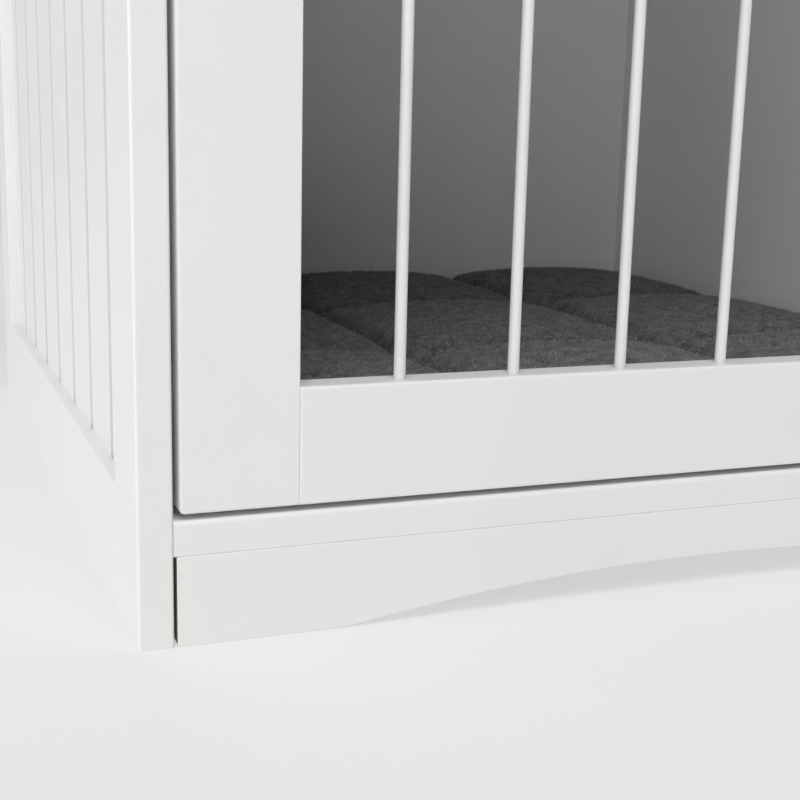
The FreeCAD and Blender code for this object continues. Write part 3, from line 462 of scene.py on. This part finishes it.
def cross_screws(name, body, axis, sign):
    """Screws with a cross recess in place of a node's plain ones; their heads face along the axis."""
    points = read_points(nodes[name].data)
    depth = (sign * points[:, axis]).max() - sign * points[:, axis]
    length = depth.max()
    flat = [other for other in range(3) if other != axis]
    heads = face_groups(points[depth < FLUSH], SCREW_APART)
    tips = points[depth > length - FLUSH]
    vertices, faces = [], []
    for head in heads:
        middle = (head.min(axis=0) + head.max(axis=0)) / 2
        radius = (head[:, flat[0]].max() - head[:, flat[0]].min()) / 2
        tip = tips[np.linalg.norm(tips[:, flat] - middle[flat], axis=1) < SCREW_APART]
        shank = (tip[:, flat[0]].max() - tip[:, flat[0]].min()) / 2
        first = len(vertices)
        centre = middle.copy()
        centre[axis] -= sign * RECESS_DEPTH * radius
        vertices.append(centre)
        for ring_radius, depths in screw_rings(radius, HEAD_DEPTH * radius, shank, length):
            for spoke, below in enumerate(depths):
                turn = 2 * math.pi * spoke / HEAD_SPOKES
                point = middle.copy()
                point[flat[0]] += ring_radius * math.cos(turn)
                point[flat[1]] += ring_radius * math.sin(turn)
                point[axis] -= sign * below
                vertices.append(point)
        rings = (len(vertices) - first - 1) // HEAD_SPOKES
        for spoke in range(HEAD_SPOKES):
            after = (spoke + 1) % HEAD_SPOKES
            faces.append((first, first + 1 + spoke, first + 1 + after))
            for ring in range(rings - 1):
                row, below = first + 1 + ring * HEAD_SPOKES, first + 1 + (ring + 1) * HEAD_SPOKES
                faces.append((row + spoke, below + spoke, below + after, row + after))
        faces.append(tuple(reversed(range(len(vertices) - HEAD_SPOKES, len(vertices)))))
    mesh = bpy.data.meshes.new(f"{name}_crossed")
    mesh.from_pydata([tuple(vertex) for vertex in vertices], [], faces)
    mesh.materials.append(finish[slots[name]])
    # The spokes turn rightwards about +X but leftwards about +Y
    if (axis == 1) == (sign > 0):
        mesh.flip_normals()
    new_piece(f"{name}_crossed", mesh, body, slots[name], name)


def seam_distance(points, low, high):
    """Distance of each point from the nearest sewn line, seen from above."""
    distance = np.full(len(points), np.inf)
    for axis in (0, 1):
        for line in range(1, QUILT_SQUARES):
            place = low[axis] + (high[axis] - low[axis]) * line / QUILT_SQUARES
            distance = np.minimum(distance, np.abs(points[:, axis] - place))
    return distance


def baked(piece):
    """The piece's mesh with its modifiers applied, as a new mesh."""
    return bpy.data.meshes.new_from_object(piece.evaluated_get(bpy.context.evaluated_depsgraph_get()))


def swap_mesh(piece, mesh):
    piece.modifiers.clear()
    piece.data = mesh


def remeshed(piece):
    """Give the piece an even mesh that cloth can work on."""
    modifier = piece.modifiers.new("remesh", "REMESH")
    modifier.mode = "VOXEL"
    modifier.voxel_size = VOXEL
    swap_mesh(piece, baked(piece))


def swell(piece, low, high):
    """Blow the pad up between its sewn lines, which are held, as stuffing does."""
    points = read_points(piece.data)
    points[:, 2] = low.z + (points[:, 2] - low.z) * CROWN_BEFORE
    write_points(piece.data, points)
    held = piece.vertex_groups.new(name="held")
    fixed = (seam_distance(points, low, high) < PINNED_SEAM) | (points[:, 2] < low.z + VOXEL / 2)
    held.add(np.flatnonzero(fixed).tolist(), 1.0, "REPLACE")
    cloth = piece.modifiers.new("cloth", "CLOTH")
    settings = cloth.settings
    settings.quality = 6
    settings.use_pressure = True
    settings.uniform_pressure_force = PRESSURE
    settings.tension_stiffness = 8
    settings.compression_stiffness = 8
    settings.shear_stiffness = 4
    settings.bending_stiffness = 0.3
    settings.vertex_group_mass = held.name
    settings.effector_weights.gravity = 0
    cloth.collision_settings.use_collision = False
    cloth.point_cache.frame_end = LAST_FRAME
    for number in range(1, LAST_FRAME + 1):
        scene.frame_set(number)
    swollen = baked(piece)
    scene.frame_set(1)
    after = read_points(swollen)
    move = after - points
    length = np.linalg.norm(move, axis=1, keepdims=True)
    move *= np.minimum(1, MOST_SWELL / np.maximum(length, 1e-9))
    write_points(swollen, points + move)
    swap_mesh(piece, swollen)
    piece.vertex_groups.clear()


def ripple(points, scale):
    """Smooth field from -1 to 1 over the pad, with the given number of features to the metre."""
    return np.array([field.noise(Vector(point) * scale) for point in points])


def plump(piece, low, high):
    """Fill the squares out towards their edges, up to the height that the solid has."""
    points = read_points(piece.data)
    share = (points[:, 2] - low.z) / (points[:, 2].max() - low.z)
    over = np.clip((share - SEAM_SHARE) / (1 - SEAM_SHARE), 0, 1)
    share = np.minimum(share, SEAM_SHARE) + (1 - SEAM_SHARE) * over ** FULLNESS
    points[:, 2] = low.z + share * (high.z - PILE_ROOM - low.z)
    write_points(piece.data, points)


def sew(piece, low, high):
    """Draw the sewn channels in, clump the pile and keep the pad in the space that the solid holds."""
    points = read_points(piece.data)
    near = np.exp(-(seam_distance(points, low, high) / SEAM_WIDTH) ** 2)
    above = np.clip((points[:, 2] - low.z) / (high.z - low.z), 0, 1)
    points[:, 2] += (CLUMP_HEIGHT * ripple(points, CLUMPS_PER_METRE) - SEAM_DEPTH * near) * above
    floor = np.array((low.x + PILE_ROOM, low.y + PILE_ROOM, low.z))
    points = np.clip(points, floor, np.array(high) - PILE_ROOM)
    write_points(piece.data, points)


def unit(vectors):
    return vectors / np.maximum(np.linalg.norm(vectors, axis=1, keepdims=True), 1e-12)


def scattered(mesh, random):
    """Points spread evenly over the upward faces of a mesh, and the outward direction at each."""
    mesh.calc_loop_triangles()
    corners = np.empty(len(mesh.loop_triangles) * 3, np.int64)
    mesh.loop_triangles.foreach_get("vertices", corners)
    triangles = read_points(mesh)[corners.reshape(-1, 3)]
    first, second = triangles[:, 1] - triangles[:, 0], triangles[:, 2] - triangles[:, 0]
    normals = np.cross(first, second)
    areas = np.linalg.norm(normals, axis=1) * (normals[:, 2] > 0)
    chosen = random.choice(len(triangles), TUFT_COUNT, p=areas / areas.sum())
    along, across = random.random((2, TUFT_COUNT, 1))
    beyond = along + across > 1
    along, across = np.where(beyond, 1 - along, along), np.where(beyond, 1 - across, across)
    return triangles[chosen, 0] + along * first[chosen] + across * second[chosen], unit(normals[chosen])


def pile(pad):
    """Short tufts all over the pad, combed by handling into patches."""
    random = np.random.default_rng(PILE_SEED)
    root, outward = scattered(pad.data, random)
    lie = 2 * math.pi * (ripple(root, PATCHES_PER_METRE) + 0.5 * ripple(root, SWIRLS_PER_METRE))[:, None]
    comb = np.hstack([np.cos(lie), np.sin(lie), np.zeros_like(lie)])
    lean = unit(outward + COMBED * comb + STRAY * random.normal(size=root.shape))
    side = unit(np.cross(outward, random.normal(size=root.shape)))
    front = np.cross(outward, side)
    length, radius = (random.uniform(*limits, (TUFT_COUNT, 1)) for limits in (TUFT_LENGTH, TUFT_RADIUS))
    corners, normals = [], []
    for corner in range(TUFT_CORNERS):
        turn = 2 * math.pi * corner / TUFT_CORNERS
        radial = math.cos(turn) * side + math.sin(turn) * front
        corners.append(root + radius * radial - TUFT_ROOT * outward)
        normals.append(unit(outward + SOFT_NORMAL * radial))
    corners.append(root + length * lean)
    normals.append(unit(outward + SOFT_NORMAL * lean))
    first = np.arange(TUFT_COUNT)[:, None] * (TUFT_CORNERS + 1)
    faces = [first + (corner, (corner + 1) % TUFT_CORNERS, TUFT_CORNERS) for corner in range(TUFT_CORNERS)]
    faces.append(first + tuple(reversed(range(TUFT_CORNERS))))
    tufts = bpy.data.meshes.new("cushion_pile")
    tufts.from_pydata(np.stack(corners, axis=1).reshape(-1, 3).tolist(), [], np.vstack(faces).tolist())
    mottle = ripple(root, CLUMPS_PER_METRE) + SPECKLED_SHARE * ripple(root, SPECKS_PER_METRE)
    tone = np.clip(MIDDLE_TONE + MOTTLED_TONE * mottle + STRAY_TONE * random.normal(size=TUFT_COUNT), 0, 1)
    tip = np.stack([ROOT_TONE * tone] * TUFT_CORNERS + [tone], axis=1)
    tufts.attributes.new("tip", "FLOAT", "POINT").data.foreach_set("value", tip.ravel())
    tufts.polygons.foreach_set("use_smooth", np.ones(len(tufts.polygons), bool))
    tufts.normals_split_custom_set_from_vertices(np.stack(normals, axis=1).reshape(-1, 3).tolist())
    tufts.materials.append(fibre_tips())
    return new_piece("cushion_pile", tufts, "crate", "plush")


def quilted_cushion():
    """Stuffed plush pad, sewn through into squares."""
    low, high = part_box("cushion")
    pad = new_piece("cushion_pad", nodes["cushion"].data.copy(), "crate", "plush", "cushion")
    remeshed(pad)
    swell(pad, low, high)
    plump(pad, low, high)
    subdivision = pad.modifiers.new("smooth", "SUBSURF")
    subdivision.levels = subdivision.render_levels = 1
    swap_mesh(pad, baked(pad))
    sew(pad, low, high)
    pad.data.polygons.foreach_set("use_smooth", np.ones(len(pad.data.polygons), bool))
    pad.data.materials.clear()
    pad.data.materials.append(finish["plush"])
    pile(pad)


def camera():
    """The photograph's view."""
    turn, dip, roll = (math.radians(angle) for angle in (CAMERA_TURN, CAMERA_DIP, CAMERA_ROLL))
    ahead = Vector((math.sin(turn) * math.cos(dip), math.cos(turn) * math.cos(dip), -math.sin(dip)))
    level = Vector((math.cos(turn), -math.sin(turn), 0))
    upright = level.cross(ahead)
    right = level * math.cos(roll) + upright * math.sin(roll)
    up = upright * math.cos(roll) - level * math.sin(roll)
    data = bpy.data.cameras.new("camera")
    data.lens = CAMERA_LENS
    data.sensor_width = SENSOR_WIDTH
    data.clip_start = 0.01
    made = bpy.data.objects.new("camera", data)
    scene.collection.objects.link(made)
    made.matrix_world = Matrix.Translation(CAMERA_PLACE) @ Matrix((right, up, -ahead)).transposed().to_4x4()
    scene.camera = made


def softbox(name, place, target, width, height, power):
    """Rectangular area light turned to its target."""
    data = bpy.data.lights.new(name, "AREA")
    data.shape = "RECTANGLE"
    data.size = width
    data.size_y = height
    data.energy = power
    made = bpy.data.objects.new(name, data)
    scene.collection.objects.link(made)
    made.location = place
    made.rotation_euler = (Vector(target) - Vector(place)).to_track_quat("-Z", "Y").to_euler()


def paper(name, shade, glow):
    """Pale paper with faint clouds, glowing a little."""
    made = new_material(name, roughness=0.7, specular_ior_level=0.2, emission_color=GLOW_COLOUR,
                        emission_strength=glow)
    clouds = noise(made, 1.5, 2)
    feed(made, "Base Color", ramp(made, clouds, (0.3, (shade,) * 3), (0.7, (PAPER_CLOUDS * shade,) * 3)))
    return made


def stage_piece(name, vertices, faces, material):
    mesh = bpy.data.meshes.new(name)
    mesh.from_pydata(vertices, [], faces)
    mesh.materials.append(material)
    piece = bpy.data.objects.new(name, mesh)
    scene.collection.objects.link(piece)
    return piece


def studio():
    """Pale floor and backdrop, a faint even surround and large soft lights."""
    rim = [(STAGE_REACH * math.cos(turn), STAGE_REACH * math.sin(turn))
           for turn in np.linspace(0, 2 * math.pi, STAGE_SIDES, endpoint=False)]
    stage_piece("floor", [(x, y, 0) for x, y in rim], [tuple(range(STAGE_SIDES))],
                paper("floor_paper", FLOOR_SHADE, FLOOR_GLOW))
    walls = [(side, (side + 1) % STAGE_SIDES, STAGE_SIDES + (side + 1) % STAGE_SIDES, STAGE_SIDES + side)
             for side in range(STAGE_SIDES)]
    wall = stage_piece("backdrop", [(x, y, z) for z in (0, STAGE_REACH) for x, y in rim], walls,
                       paper("backdrop_paper", BACKDROP_SHADE, BACKDROP_GLOW))
    # The backdrop shows and is mirrored, but the softboxes alone light the crate
    wall.visible_diffuse = wall.visible_shadow = False
    world = bpy.data.worlds.new("surround")
    world.use_nodes = True
    world.node_tree.nodes["Background"].inputs["Color"].default_value = (1, 1, 1, 1)
    world.node_tree.nodes["Background"].inputs["Strength"].default_value = SURROUND_STRENGTH
    scene.world = world
    for box in SOFTBOXES:
        softbox(*box)
    scene.view_settings.view_transform = "Standard"


sawn_apron()
eased_board("door_left_stile", (-1,), (1,), STILE_EASE)
eased_board("door_right_stile", (1,), (-1,), STILE_EASE)
eased_board("door_top_rail", (), (-1, 1), RAIL_EASE)
eased_board("door_bottom_rail", (), (-1, 1), RAIL_EASE)
cut_grooves()
cross_screws("hinge_frame_screws", "crate", 0, -1)
cross_screws("hinge_door_screws", "door", 0, 1)
cross_screws("bolt_plate_screws", "door", 1, -1)
cross_screws("keeper_screws", "crate", 1, -1)
quilted_cushion()
camera()
studio()
